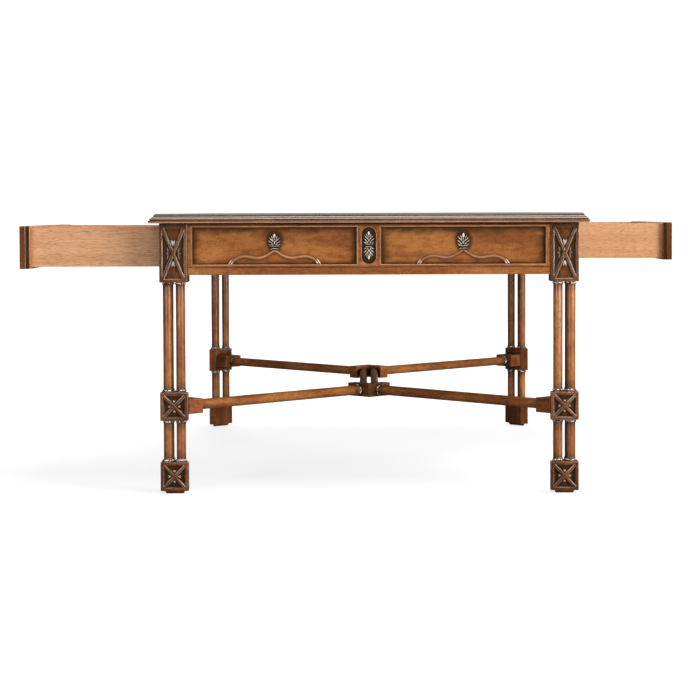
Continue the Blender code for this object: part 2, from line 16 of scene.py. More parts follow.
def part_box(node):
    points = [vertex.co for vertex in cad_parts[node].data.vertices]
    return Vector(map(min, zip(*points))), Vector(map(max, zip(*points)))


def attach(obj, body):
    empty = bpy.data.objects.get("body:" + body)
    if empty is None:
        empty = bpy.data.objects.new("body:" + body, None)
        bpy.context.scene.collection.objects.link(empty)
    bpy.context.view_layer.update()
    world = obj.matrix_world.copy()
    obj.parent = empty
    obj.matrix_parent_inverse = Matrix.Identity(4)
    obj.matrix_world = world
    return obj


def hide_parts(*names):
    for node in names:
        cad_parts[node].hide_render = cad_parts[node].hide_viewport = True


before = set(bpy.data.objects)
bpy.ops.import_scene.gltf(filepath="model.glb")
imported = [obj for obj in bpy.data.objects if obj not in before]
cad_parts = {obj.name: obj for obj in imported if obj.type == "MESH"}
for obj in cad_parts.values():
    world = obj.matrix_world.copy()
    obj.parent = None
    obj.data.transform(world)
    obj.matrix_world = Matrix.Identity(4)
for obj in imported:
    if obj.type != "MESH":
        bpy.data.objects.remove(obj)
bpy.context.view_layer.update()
mm = 0.001
quarter_turn = math.pi / 2
eighth_turn = math.pi / 4

# Table sizes that the boxes of the nodes don't give
fit_gap = 0.3 * mm
weld_distance = 0.02 * mm
apron_recess = 2 * mm
apron_thickness = 20 * mm
front_thickness = 18 * mm
panel_depth = 5 * mm
fret_depth = 4 * mm
fret_border = 5.5 * mm
fret_head_border = 8.3 * mm

leg_low, leg_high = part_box("capital_near_left")
top_low, top_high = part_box("table_top")
foot_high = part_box("foot_block_near_left")[1]
mid_low, mid_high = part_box("mid_block_near_left")
leg_width = leg_high.x - leg_low.x
leg_x = -(leg_low.x + leg_high.x) / 2
leg_y = -(leg_low.y + leg_high.y) / 2
inner_leg_x = leg_x - leg_width / 2
end_face_y = leg_y + leg_width / 2 - apron_recess
side_face_x = leg_x + leg_width / 2 - apron_recess

# The finishes of the real thing, as sRGB colours; the dark glaze and the rubbed colours also paint
# shade and highlights
finish_colours = {
    "mahogany_deep": "#43240C",
    "mahogany_mid": "#91532B",
    "mahogany_light": "#B7743E",
    "mahogany_ruddy": "#8B4A28",
    "mahogany_ruddy_light": "#AE693B",
    "glaze_and_shade": "#150C02",
    "rubbed_edge_highlight": "#DDBFA2",
    "rubbed_carving_glint": "#FFF6EA",
    "oak_deep": "#BF8252",
    "oak_mid": "#D09C71",
    "oak_light": "#E0B491",
    "oak_pore_and_shade": "#8A5A34",
    "amber_lacquer": "#DDAC7C",
    "clear_lacquer": "#F4E2D0",
    "studio_white": "#FFFFFF",
    "studio_grey": "#999999",
    "studio_black": "#000000",
}


def linear(code):
    """Linear colour of an sRGB hex code."""
    shares = [int(code[i:i + 2], 16) / 255 for i in (1, 3, 5)]
    return (*(s / 12.92 if s <= 0.04045 else ((s + 0.055) / 1.055) ** 2.4 for s in shares), 1)


def paint(name):
    return linear(finish_colours[name])


# Kinds of node with the settings that many share
mix = ("Mix", {"data_type": "RGBA"})
smooth = ("MapRange", {"interpolation_type": "SMOOTHSTEP"})
dot_product = ("VectorMath", {"operation": "DOT_PRODUCT"})
length_of = ("VectorMath", {"operation": "LENGTH"})
moved_on = ("VectorMath", {"operation": "MULTIPLY_ADD"})
plus, minus, times, divided, lesser, blended_lesser, greater, unsigned = (
    ("Math", {"operation": operation}) for operation in
    ("ADD", "SUBTRACT", "MULTIPLY", "DIVIDE", "MINIMUM", "SMOOTH_MIN", "MAXIMUM", "ABSOLUTE"))


def feed(node, inputs):
    """Sets each input of a node, or links it to a socket or to a node's first open output."""
    for name, value in inputs.items():
        if isinstance(value, bpy.types.Node):
            value = next(output for output in value.outputs if output.enabled)
        if isinstance(value, bpy.types.NodeSocket):
            node.id_data.links.new(value, node.inputs[name])
        else:
            node.inputs[name].default_value = value


def add_node(tree, kind, *inputs, **named_inputs):
    """Adds a node of a kind with its settings, and sets or links its inputs.

    Inputs without a name are the node's open ones in turn.
    """
    kind, settings = kind if isinstance(kind, tuple) else (kind, {})
    node = tree.nodes.new("ShaderNode" + kind)
    for name, value in settings.items():
        setattr(node, name, value)
    open_places = [i for i, socket in enumerate(node.inputs) if socket.enabled]
    feed(node, {**dict(zip(open_places, inputs)), **named_inputs})
    return node


def figure(add, places, along, across, length, detail=3.0, distortion=0.0):
    """Noise whose spots are as long as the length along the grain and as wide as across."""
    scale = [1 / across] * 3
    scale[along] = 1 / length
    stretched = add("Mapping", places, Scale=scale)
    return add("TexNoise", stretched, Scale=1.0, Detail=detail, Roughness=0.6,
               Distortion=distortion)


def layered(add, wood, layers):
    """The wood under thin colours, each from none to its share between two levels of a pattern."""
    for pattern, low, high, share, colour in layers:
        density = add(smooth, pattern, low, high, 0.0, share)
        wood = add(mix, density, wood, paint(colour))
    return wood


def own_places(add):
    """The places in a piece's own frame, whole and as their x, y and z."""
    places = add("TexCoord").outputs["Object"]
    return places, *add("SeparateXYZ", places).outputs


def grain_places(add, turn):
    """Object places, turned about Z and moved along by an amount that each piece has its own."""
    places = add("TexCoord").outputs["Object"]
    if turn:
        places = add("Mapping", places, Rotation=(0, 0, turn))
    chance = add("ObjectInfo").outputs["Random"]
    shift = add("CombineXYZ", chance, chance, chance)
    furthest = (3, 2, 5)
    return add(moved_on, shift, furthest, places), chance


def new_finish(name):
    """A new material, the function that adds a node to it, and its shader."""
    material = bpy.data.materials.new(name)
    material.use_nodes = True
    tree = material.node_tree
    return material, partial(add_node, tree), tree.nodes["Principled BSDF"]


def panel_shade(add, field):
    """Share of glazing and painted shade on a sunk panel: full at its edges and none past a hand's
    width in.

    The field is (middle x, half width, middle z, half height); x counts both ways from 0. The
    dark reaches furthest in from the head, as painted shadow of the top's overhang, and least from
    the foot; glazing and painted shade pool round the cone. A weaker painted shadow of the top lies
    along the border over the panel.
    """
    middle_x, half_x, middle_z, half_z = field
    places, x, _, z = own_places(add)
    x = add(unsigned, x)
    off_middle = add(minus, x, middle_x)
    from_side = add(minus, half_x, add(unsigned, off_middle))
    from_head = add(minus, middle_z + half_z, z)
    from_foot = add(times, add(minus, z, middle_z - half_z), 2.6)
    from_end = add(lesser, from_head, from_foot)
    inside = add(blended_lesser, from_side, from_end, 8 * mm)
    cloud = figure(add, places, 0, 18 * mm, 26 * mm, 2.0)
    uneven = add(times, add(minus, cloud, 0.5), 20 * mm)
    depth = add(plus, inside, uneven)
    edge = add(smooth, depth, 0.0, 22 * mm, 1.0, 0.0)
    # Glazing and painted shade round the cone, which stands out of the panel
    cone_z = middle_z - half_z + cone_seat + cone_height * 0.6
    across = add(divided, off_middle, cone_width * 0.58)
    up = add(divided, add(minus, z, cone_z), cone_height * 0.66)
    from_cone = add(length_of, add("CombineXYZ", across, up))
    cone_shade = add(smooth, from_cone, 0.9, 1.6, 1.0, 0.0)
    on_panel = add(smooth, inside, -0.4 * mm, 0.2 * mm)
    sunk = add(times, add(greater, edge, cone_shade), on_panel)
    # Painted shadow of the top's overhang, along the border over the panel
    shadow_under_top = add(smooth, from_head, -7 * mm, 4 * mm, 0.62, 0.0)
    return add(greater, sunk, shadow_under_top)


def tablet_shade(add, half_width):
    """Share of darker colour on the ground of a tablet, which is sunk in a board about x = 0."""
    _, x, y, _ = own_places(add)
    within = add(smooth, add(unsigned, x), half_width - 1 * mm, half_width + 1 * mm, 1.0, 0.0)
    return add(times, within, add(smooth, y, 1 * mm, 3 * mm))


def pocket_shade(add, pocket):
    """Share of glazing and painted shade on the ground of the pockets in a block's two fretted
    faces, -X and -Y.

    The pocket is (distance of its ground from the middle of the block, height of the crossing);
    the ground is darkest beside the crossing, painted as the shade in the narrow side pockets.
    """
    ground_out, crossing_z = pocket
    _, x, y, z = own_places(add)
    out = add(times, add(lesser, x, y), -1.0)
    highest = add(greater, x, y)
    off_crossing = add(unsigned, add(minus, z, crossing_z))
    depth = add(smooth, out, ground_out, ground_out + fret_depth * 0.7, 1.0, 0.0)
    share = add(times, depth, add(smooth, off_crossing, 14 * mm, 36 * mm, 0.72, 0.12))
    off_ends = add(smooth, out, ground_out - 1.4 * mm, ground_out - 0.6 * mm)
    off_inside = add(smooth, highest, ground_out - 1 * mm, ground_out, 1.0, 0.0)
    return add(times, share, add(times, off_ends, off_inside))


def end_shade(add, ends):
    """Share of painted shade on an upright piece beside the given heights of its collars or head,
    where the block or top over it shades it.
    """
    _, _, _, z = own_places(add)
    nearest = None
    for end in ends:
        away = add(unsigned, add(minus, z, end))
        nearest = add(lesser, nearest, away) if nearest else away
    return add(smooth, nearest, 4 * mm, 26 * mm, 0.55, 0.0)


def mahogany(name, along, turn=0.0, field=None, depth=0.0, rub_and_highlight=0.55, crest_and_highlight=0.0,
             hollow_width=11 * mm, arris=0.7 * mm, carved=False, pocket=None,
             tablet=0.0, polish=0.6, coarse=0.0, alone=False, glint_spots=False, ends=(),
             lacquer="amber_lacquer", film=1.5, ruddy=False):
    """Mahogany, stained, glazed dark and painted with shade in its hollows, specked, rubbed and
    lacquered to a satin.

    The eye gets brown-orange wood, mottled and specked like old polish, with soft figure and short
    dark pores along the grain, near-black hollows of glazing and painted shade, and thin light
    lines on the edges, of wear and painted highlight.

    along, turn         axis of the grain, and how far the piece's places are turned to meet it
    ruddy               a redder stain
    depth               share of dark glaze left all over
    field, tablet       sunk panel with glazing and painted shade on it, and half width of a sunk tablet whose ground is darker
    pocket, ends        pockets of a fret, with glazing and painted shade, and heights from where painted shade runs out
    hollow_width        width of the hollows that hold glazing and painted shade
    carved, alone       fine hollows, and hollows of the piece itself, without its neighbours
    rub_and_highlight, arris   share of finish gone from the arrises, lightest where they face the light as painted highlight, and how far in that reaches
    crest_and_highlight, glint_spots   share of finish gone from all that stands out, with painted highlight where it faces up, and whether in spots of painted glint
    polish, lacquer     strength and tint of the lacquer's gloss
    film, coarse        refractive index of its last coat, and what it lacks in smoothness
    """
    material, add, shader = new_finish(name)
    places, chance = grain_places(add, turn)
    cloud = figure(add, places, along, 34 * mm, 130 * mm, 3.0, 0.4)
    mottle = figure(add, places, along, 7 * mm, 13 * mm, 3.0, 0.3)
    streak = figure(add, places, along, 2.4 * mm, 60 * mm, 4.0, 0.3)
    # Real pores are 0.2 mm wide; they are drawn four times as wide, so that they show
    pore = figure(add, places, along, 0.8 * mm, 5 * mm, 2.0)
    speck_size = (0.9 * mm, 1.1 * mm) if carved else (1.3 * mm, 1.5 * mm)
    speck = figure(add, places, along, *speck_size)
    stain = "mahogany_ruddy" if ruddy else "mahogany_mid"
    pale_stain = "mahogany_ruddy_light" if ruddy else "mahogany_light"
    wood = layered(add, paint(stain), (
        (cloud, 0.35, 0.66, 1.0, pale_stain), (mottle, 0.44, 0.68, 0.4, "mahogany_deep"),
        (streak, 0.46, 0.72, 0.18, "mahogany_deep"), (pore, 0.56, 0.7, 0.35, "mahogany_deep"),
        (speck, 0.5, 0.7, 0.9, "glaze_and_shade")))
    tone = add("MapRange", chance, 0.0, 1.0, 0.9, 1.08)
    wood = add("HueSaturation", Value=tone, Color=wood)

    rounded = add(("Bevel", {"samples": 4}), Radius=arris)
    flat = add("NewGeometry").outputs["Normal"]
    turned_by = add(dot_product, rounded, flat)
    open_share = add(("AmbientOcclusion", {"samples": 8, "only_local": carved or alone}),
                     Distance=hollow_width).outputs["AO"]
    # The shares of open sky over which glazing and painted shade thin out, arrises are rubbed and
    # painted with highlight, and tips are worn and painted with highlight
    hollow_span, rub_span, crest_span = (
        ((0.3, 0.7), (0.35, 0.6), (0.5, 0.8)) if carved else
        ((0.45, 0.96), (0.35, 0.6) if pocket else (0.55, 0.85), (0.8, 0.98)))
    glazes_and_shades = []
    if depth:
        uneven = 0.4 * (1 - depth)
        span = (depth * (1 + uneven), depth * (1 - uneven))
        glazes_and_shades.append(add("MapRange", cloud, 0.3, 0.7, *span))
    if field:
        glazes_and_shades.append(add(times, panel_shade(add, field), 0.8))
    if tablet:
        glazes_and_shades.append(add(times, tablet_shade(add, tablet), 0.85))
    if pocket:
        glazes_and_shades.append(pocket_shade(add, pocket))
    if ends:
        glazes_and_shades.append(end_shade(add, ends))
    # Darker in every hollow, from the occlusion node: glazing and painted shade, also where
    # neighbours or the top shade it
    glazes_and_shades.append(add("MapRange", open_share, *hollow_span, 0.97, 0.0))
    for share in glazes_and_shades:
        wood = add(mix, share, wood, paint("glaze_and_shade"))

    # Arrises rubbed light, most on those that face up, on fretted blocks those to the right: wear
    # with painted highlight where the light falls
    light_way = (0.55 if pocket else -0.55, 0, 0.83)
    light_way_span = (-0.15, 0.45, 0.35, 1.0) if pocket else (-0.4, 0.35, 0.3, 1.0)
    toward_light = add(dot_product, rounded, light_way)
    on_arris = add(smooth, turned_by, 0.86, 0.985, rub_and_highlight, 0.0)
    wear_and_highlight = add(times, on_arris, add(smooth, toward_light, *light_way_span))
    wear_and_highlight = add(times, wear_and_highlight, add(smooth, open_share, *rub_span))
    # Tips that stand out are worn and painted near white, most where they face up: painted
    # highlight
    if crest_and_highlight:
        worn_and_lit = add(times, add(smooth, open_share, *crest_span, 0.0, crest_and_highlight),
                   add(smooth, toward_light, -0.6, 0.15, 0.4, 1.0))
        # Broken into spots, as painted glints
        if glint_spots:
            spot = figure(add, places, along, 3.5 * mm, 2.5 * mm, 0.0)
            worn_and_lit = add(times, worn_and_lit, add(smooth, spot, 0.5, 0.6))
        wear_and_highlight = add(greater, wear_and_highlight, worn_and_lit)
    bared_and_lit = paint("rubbed_carving_glint" if carved or pocket else "rubbed_edge_highlight")
    ripple = add(plus, streak, add(times, pore, 0.8))
    feed(shader, {
        "Base Color": add(mix, wear_and_highlight, wood, bared_and_lit),
        "Roughness": add("MapRange", streak, 0.3, 0.7, 0.28 + coarse, 0.42 + coarse),
        "Normal": add("Bump", Strength=0.35, Distance=0.15 * mm, Height=ripple,
                      Normal=rounded),
        "IOR": 1.5, "Specular Tint": paint(lacquer), "Coat Weight": polish, "Coat IOR": film,
        "Coat Roughness": 0.12})
    return material


def sealed_oak(name, along, warmth):
    """Oak, planed and sealed with a clear matt coat.

    The eye gets pale straw-brown wood with fine long lines of open pores and a faint broad figure,
    darker in its corners as painted shade. Warmth is the share of the deeper colour; the two
    drawers' copies differ in it as painted light and shade, for the unequal light on the two sides.
    """
    material, add, shader = new_finish(name)
    places, chance = grain_places(add, 0.0)
    cloud = figure(add, places, along, 11 * mm, 260 * mm, 3.0, 0.5)
    streak = figure(add, places, along, 0.9 * mm, 60 * mm, 4.0, 0.2)
    # Pore lines of 0.3 mm are drawn at 0.6 mm, so that they show
    pore = figure(add, places, along, 0.6 * mm, 12 * mm, 3.0)
    board = [pale + warmth * (deep - pale)
             for pale, deep in zip(paint("oak_light"), paint("oak_mid"))]
    wood = layered(add, board, (
        (cloud, 0.4, 0.66, 0.6, "oak_deep"), (streak, 0.45, 0.65, 0.5, "oak_deep"),
        (pore, 0.52, 0.62, 0.8, "oak_pore_and_shade")))
    tone = add("MapRange", chance, 0.0, 1.0, 0.95, 1.05)
    wood = add("HueSaturation", Value=tone, Color=wood)
    open_share = add(("AmbientOcclusion", {"samples": 6}), Distance=12 * mm).outputs["AO"]
    # Painted shade in corners and under the fronts, from the occlusion node
    corner_shade = add("MapRange", open_share, 0.1, 0.6, 0.4, 0.0)
    rounded = add(("Bevel", {"samples": 4}), Radius=0.6 * mm)
    feed(shader, {
        "Base Color": add(mix, corner_shade, wood, paint("oak_pore_and_shade")),
        "Roughness": 0.55, "IOR": 1.5,
        "Normal": add("Bump", Strength=0.4, Distance=0.15 * mm, Height=pore, Normal=rounded)})
    return material


def moved(x, y, z):
    return Matrix.Translation((x, y, z))


def section_of(kind, sides=12):
    """Closed sections as (across, out) pairs for a strand one unit wide and one unit high."""
    if kind == "round":
        turns = [2 * math.pi * i / sides for i in range(sides)]
        return [(math.cos(t) / 2, math.sin(t) / 2) for t in turns]
    if kind == "leaf":
        return [(-0.5, -0.1), (-0.3, 0.55), (0, 1), (0.3, 0.55), (0.5, -0.1), (0, -0.5)]
    return [(-0.5, -0.4), (-0.5, 0.2), (-0.4, 0.62), (-0.2, 0.9), (0, 1), (0.2, 0.9),
            (0.4, 0.62), (0.5, 0.2), (0.5, -0.4)]


def skin(shape, rings, closed=False):
    """Adds the faces between rings of points, and those over both ends of an open run."""
    for one, next_one in zip(rings, rings[1:] + rings[:1] if closed else rings[1:]):
        for i, point in enumerate(one):
            j = (i + 1) % len(one)
            shape.faces.new((point, one[j], next_one[j], next_one[i]))
    if not closed:
        shape.faces.new(rings[0])
        shape.faces.new(rings[-1])


def strand(shape, path, section, widths, heights, closed=False, spot=Matrix()):
    """Adds a strand that follows (x, y, z) places on a face; its corners are mitred in the face."""
    count = len(path)
    rings = []
    for i, place in enumerate(path):
        place = Vector(place)
        before = Vector(path[i - 1]) if closed or i else place
        after = Vector(path[(i + 1) % count]) if closed or i + 1 < count else place
        into = Vector((place.x - before.x, place.z - before.z))
        out_of = Vector((after.x - place.x, after.z - place.z))
        ways = [way.normalized() for way in (into, out_of) if way.length > 0]
        way = (ways[0] + ways[-1]).normalized()
        mitre = 1 / max(way.dot(ways[-1]), 0.5)
        ring = []
        for across, out in section:
            reach = across * widths[i] * mitre
            point = Vector((place.x - way.y * reach, place.y - out * heights[i],
                            place.z + way.x * reach))
            ring.append(shape.verts.new(spot @ point))
        rings.append(ring)
    skin(shape, rings, closed)


def leaf(shape, length, width, rise, curl, spot, steps=6):
    """Adds a pointed leaf with a sharp rib, from its foot at the origin up along +Z."""
    path, widths, heights = [], [], []
    for i in range(steps + 1):
        share = i / steps
        # Blunt at the foot, fullest half way up and thin at the tip
        swell = max(math.sin(math.pi * (0.1 + 0.9 * share) ** 1.15), 0.05)
        path.append((0, -curl * share * share, length * share))
        widths.append(width * swell)
        heights.append(rise * swell)
    strand(shape, path, section_of("leaf"), widths, heights, False, spot)


def turned_into(shape, profile, sides=40, spot=Matrix()):
    """Adds a turning about Z from (radius, height) pairs, closed at both ends."""
    turns = [2 * math.pi * i / sides for i in range(sides)]
    skin(shape, [[shape.verts.new(spot @ Vector((radius * math.cos(t), radius * math.sin(t),
                                                 height))) for t in turns]
                 for radius, height in profile])


def to_mesh(shape, name):
    """Mesh of the shape, which is used up."""
    mesh = bpy.data.meshes.new(name)
    shape.to_mesh(mesh)
    shape.free()
    return mesh


def set_out(name, data):
    """Object of a mesh, light or camera, linked to the scene."""
    item = bpy.data.objects.new(name, data)
    bpy.context.scene.collection.objects.link(item)
    return item


def mesh_of(shape, name, smooth_angle):
    """Mesh of the shape, smooth over shallow edges, with every broad face kept dead flat."""
    least_width, least_angle = 4 * mm, math.radians(2)
    bmesh.ops.recalc_face_normals(shape, faces=shape.faces)
    broad = {face for face in shape.faces
             if face.calc_area() > least_width * max(edge.calc_length() for edge in face.edges)}
    shape.edges.index_update()
    rims = [edge.index for edge in shape.edges
            if edge.calc_face_angle(0) > least_angle and broad.intersection(edge.link_faces)]
    mesh = to_mesh(shape, name)
    mesh.shade_smooth()
    mesh.set_sharp_from_angle(angle=math.radians(smooth_angle))
    for index in rims:
        mesh.edges[index].use_edge_sharp = True
    return mesh


def finished(mesh, finishes, number_of):
    """Mesh with its finishes, each face with the one whose number the function gives."""
    for finish in finishes:
        mesh.materials.append(finish)
    for face in mesh.polygons:
        face.material_index = int(number_of(face))
    return mesh


def stand(name, mesh, material, spot, body="frame", stands_for=()):
    """Puts a piece of the mesh in its place and on its body, and hides the CAD parts that it stands
    for.
    """
    if not mesh.materials:
        mesh.materials.append(material)
    piece = set_out(name, mesh)
    piece.matrix_world = spot
    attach(piece, body)
    if stands_for:
        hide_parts(*stands_for)
    return piece


def cut_from(base, tools):
    """Base mesh with each tool mesh cut out of it."""
    item = set_out("cut", base)
    helpers = [set_out("tool", tool) for tool in tools]
    for helper in helpers:
        step = item.modifiers.new("cut", "BOOLEAN")
        step.object = helper
        step.operation = "DIFFERENCE"
    bpy.context.view_layer.update()
    graph = bpy.context.evaluated_depsgraph_get()
    mesh = bpy.data.meshes.new_from_object(item.evaluated_get(graph))
    for helper in helpers + [item]:
        bpy.data.objects.remove(helper)
    return mesh


def block(x_range, y_range, z_range):
    """Mesh of a plain block, as raw stock to cut and ease."""
    ranges = (x_range, y_range, z_range)
    middle = Vector([(low + high) / 2 for low, high in ranges])
    size = Vector([high - low for low, high in ranges])
    shape = bmesh.new()
    bmesh.ops.create_cube(shape, size=1, matrix=Matrix.Translation(middle)
                          @ Matrix.Diagonal((*size, 1)))
    return to_mesh(shape, "stock")


def slab(outline, y_range):
    """Mesh of an upright outline in (x, z), thick from the low to the high y."""
    shape = bmesh.new()
    skin(shape, [[shape.verts.new((x, y, z)) for x, z in outline] for y in y_range])
    bmesh.ops.recalc_face_normals(shape, faces=shape.faces)
    return to_mesh(shape, "slab")


def eased(mesh, width, smooth_angle=40):
    """Mesh with its crisp arrises taken off by the width, as with fine paper."""
    level, turned_over = math.radians(1), math.radians(25)
    shape = bmesh.new()
    shape.from_mesh(mesh)
    bmesh.ops.remove_doubles(shape, verts=shape.verts, dist=weld_distance)
    bmesh.ops.dissolve_limit(shape, angle_limit=level, verts=shape.verts, edges=shape.edges)
    crisp = [edge for edge in shape.edges
             if len(edge.link_faces) == 2 and edge.calc_face_angle(0) > turned_over]
    bmesh.ops.bevel(shape, geom=crisp, offset=width, segments=2, profile=0.6, affect="EDGES",
                    clamp_overlap=True)
    return mesh_of(shape, mesh.name, smooth_angle)


# Boards with sunk panels

ogee_half_span = 82.5 * mm
ogee_height = 28.5 * mm
ogee_width = 5.4 * mm
ogee_across_shares = (1.01, 0.92, 0.83, 0.69, 0.57, 0.395, 0.25, 0.147, 0.0)
ogee_rise_shares = (-0.03, 0.26, 0.44, 0.56, 0.53, 0.42, 0.5, 0.65, 0.94)
bead_width = 3.2 * mm
cone_width = 22 * mm
cone_height = 27.6 * mm
cone_seat = ogee_height + 0.8 * mm
tablet_width = 26.9 * mm
tablet_depth = 4 * mm


def softened(points, rounds=3):
    """Corner-cut copy of an open run of points, so that it reads as one smooth line."""
    for _ in range(rounds):
        finer = [points[0]]
        for one, next_one in zip(points, points[1:]):
            finer.append(tuple(0.75 * a + 0.25 * b for a, b in zip(one, next_one)))
            finer.append(tuple(0.25 * a + 0.75 * b for a, b in zip(one, next_one)))
        finer.append(points[-1])
        points = finer
    return points


def ogee_mesh():
    """The accolade over a panel's foot: two swelling strands that meet under the cone."""
    shape = bmesh.new()
    for side in (-1, 1):
        run = [(side * across * ogee_half_span, panel_depth, rise * ogee_height)
               for across, rise in zip(ogee_across_shares, ogee_rise_shares)]
        run = softened(run)
        end_share, swell_share, rise_share = 0.8, 0.3, 0.62
        widths = [ogee_width * (end_share + swell_share * math.sin(math.pi * i / (len(run) - 1)))
                  for i in range(len(run))]
        heights = [rise_share * width for width in widths]
        strand(shape, run, section_of("moulded"), widths, heights)
    return mesh_of(shape, "ogee", smooth_angle=50)


def slips_mesh():
    """Two slips of leaf, side by side, over each foot of the ogee."""
    shape = bmesh.new()
    for side in (-1, 1):
        for shift, reach in ((-2.3 * mm, 11 * mm), (1.9 * mm, 14 * mm)):
            foot = moved(side * (ogee_half_span + shift), panel_depth - 1 * mm, -0.5 * mm)
            leaf(shape, reach, width=3.2 * mm, rise=4.2 * mm, curl=0.4 * mm,
                 spot=foot @ Matrix.Rotation(-side * 0.62, 4, "Y"))
    return mesh_of(shape, "slips", smooth_angle=30)


# The scales of one side of an open cone, 22.4 mm wide and high: the places (x, z) of the foot and
# the tip, how far the foot stands out of the face, and the width; those at x = 0 have no twin
cone_scales = (
    (3.2, 1.0, 11.2, 2.6, 1.8, 1.7), (3.4, 4.2, 11.2, 9.8, 2.4, 1.8),
    (3.0, 8.2, 9.4, 15.4, 2.8, 1.8), (2.2, 11.6, 5.6, 18.2, 3.6, 1.8),
    (1.7, 7.0, 5.2, 12.8, 5.0, 2.6), (0, 2.8, 0, 9.2, 5.6, 2.6),
    (1.8, 0.6, 5.6, 5.4, 4.2, 1.8), (0, 10.2, 0, 15.0, 5.6, 2.2))
# The core under the scales and the bud over them, turned, as (radius, height)
cone_core = ((0.3, 0.2), (3.4, 1.2), (4.4, 5), (3.8, 10), (2.6, 14), (0.3, 17))
cone_bud = ((0.3, 14.2), (2.2, 15.2), (3.1, 17.4), (3.0, 19.6), (1.8, 21.6), (0.3, 22.4))


def pine_cone(shape, spot):
    """Adds the open scales of a pine cone that stands out of a face, its foot at the origin."""
    for profile, out in ((cone_core, 0), (cone_bud, 2.6 * mm)):
        turned_into(shape, [(radius * mm, height * mm) for radius, height in profile], 16,
                    spot @ moved(0, -out, 0))
    for foot_x, foot_z, tip_x, tip_z, out, width in cone_scales:
        for side in (-1, 1) if tip_x else (1,):
            along = Vector((side * (tip_x - foot_x), 0, tip_z - foot_z))
            lean = math.atan2(along.x, along.z)
            place = moved(side * foot_x * mm, -out * mm, foot_z * mm)
            place = place @ Matrix.Rotation(lean, 4, "Y")
            leaf(shape, along.length * mm, width * mm, rise=0.7 * width * mm, curl=0.5 * mm,
                 spot=spot @ place)


def with_dark_core(mesh, ground, depth):
    """Mesh with painted shade, a near-black copy of the wood, on all that lies within the depth in
    front of the ground.
    """
    least_area = 1.5 * mm * mm

    def in_core(face):
        furthest_out = min(mesh.vertices[i].co.y for i in face.vertices)
        return furthest_out > ground - depth and face.area > least_area

    return finished(mesh, (mahogany_carved, mahogany_painted_shade), in_core)


def cup(shape, half_width, low, high, spot):
    """Adds the cup under a cone: a sunk band between two rims that turn away at their ends."""
    section = section_of("round", sides=8)
    rim_width, rim_rise, rim_out, rim_curl = 1.3 * mm, 4 * mm, 2 * mm, 0.9 * mm
    for height, way, reach in ((low, -1, 0.86), (high, 1, 1.0)):
        run = softened([(across * half_width * reach, -rim_out,
                         height + way * rim_curl * across * across)
                        for across in (-1, -0.6, 0, 0.6, 1)], rounds=2)
        strand(shape, run, section, [rim_width] * len(run), [rim_rise] * len(run), False, spot)
    band_rise, band_out = 1.6 * mm, 0.4 * mm
    band = [(side * half_width * 0.8, -band_out, (low + high) / 2) for side in (-1, 1)]
    strand(shape, band, section, [high - low] * 2, [band_rise] * 2, False, spot)


def cone_mesh():
    """Pine cone in its cup."""
    shape = bmesh.new()
    pine_cone(shape, moved(0, 0, 5.2 * mm))
    cup(shape, half_width=8.4 * mm, low=0.6 * mm, high=4.6 * mm, spot=Matrix())
    return with_dark_core(mesh_of(shape, "pine_cone", smooth_angle=30), ground=0, depth=4.8 * mm)


def tablet_outline(margin, steps=16):
    """Outline (x, z) of a tablet with round ends, brought in by the margin."""
    radius = tablet_width / 2 - margin
    straight = tablet_height / 2 - tablet_width / 2
    points = []
    for end, start in ((1, 0), (-1, math.pi)):
        for step in range(steps + 1):
            turn = start + math.pi * step / steps
            points.append((radius * math.cos(turn), end * straight + radius * math.sin(turn)))
    return points


def tablet_rim_mesh():
    """Thin bead round the tablet's edge."""
    shape = bmesh.new()
    rim = [(x, 0.3 * mm, z) for x, z in tablet_outline(-0.2 * mm)]
    sizes = [1.7 * mm] * len(rim)
    strand(shape, rim, section_of("round", sides=8), sizes, sizes, closed=True)
    return mesh_of(shape, "tablet_rim", smooth_angle=50)


def tablet_carving_mesh():
    """Two small pine cones, foot to foot in one cup."""
    shape = bmesh.new()
    for turn in (0, math.pi):
        half = Matrix.Rotation(turn, 4, "Y")
        slimmed = Matrix.Diagonal((0.84, 0.7, 1, 1))
        pine_cone(shape, half @ moved(0, tablet_depth, 3.2 * mm) @ slimmed)
    cup(shape, half_width=6.8 * mm, low=-2 * mm, high=2 * mm, spot=moved(0, tablet_depth, 0))
    return with_dark_core(mesh_of(shape, "tablet_carving", smooth_angle=30), ground=tablet_depth,
                          depth=3.4 * mm)


def bead_mesh(x_range, z_range):
    """Round bead mitred round a panel's edge."""
    corners = ((x_range[0], z_range[0]), (x_range[1], z_range[0]),
               (x_range[1], z_range[1]), (x_range[0], z_range[1]))
    shape = bmesh.new()
    path = [(x, 0.9 * mm, z) for x, z in corners]
    sizes = [bead_width] * len(path)
    strand(shape, path, section_of("round", sides=14), sizes, sizes, closed=True)
    return mesh_of(shape, "bead", smooth_angle=50)


def facing(x, y, turn):
    """Place of a board whose face, drawn to -Y at y = 0, stands there and is turned about Z."""
    return moved(x, y, 0) @ Matrix.Rotation(turn, 4, "Z")


# The mahogany of rails, boards and beads: brown-orange, with dark hollows of glazing and painted
# shade and light arrises of wear and painted highlight
mahogany_across = mahogany("antiqued_mahogany_grain_x", 0)
mahogany_long = mahogany("antiqued_mahogany_grain_y", 1)
mahogany_stile = mahogany("antiqued_mahogany_stile", 2, tablet=tablet_width / 2)
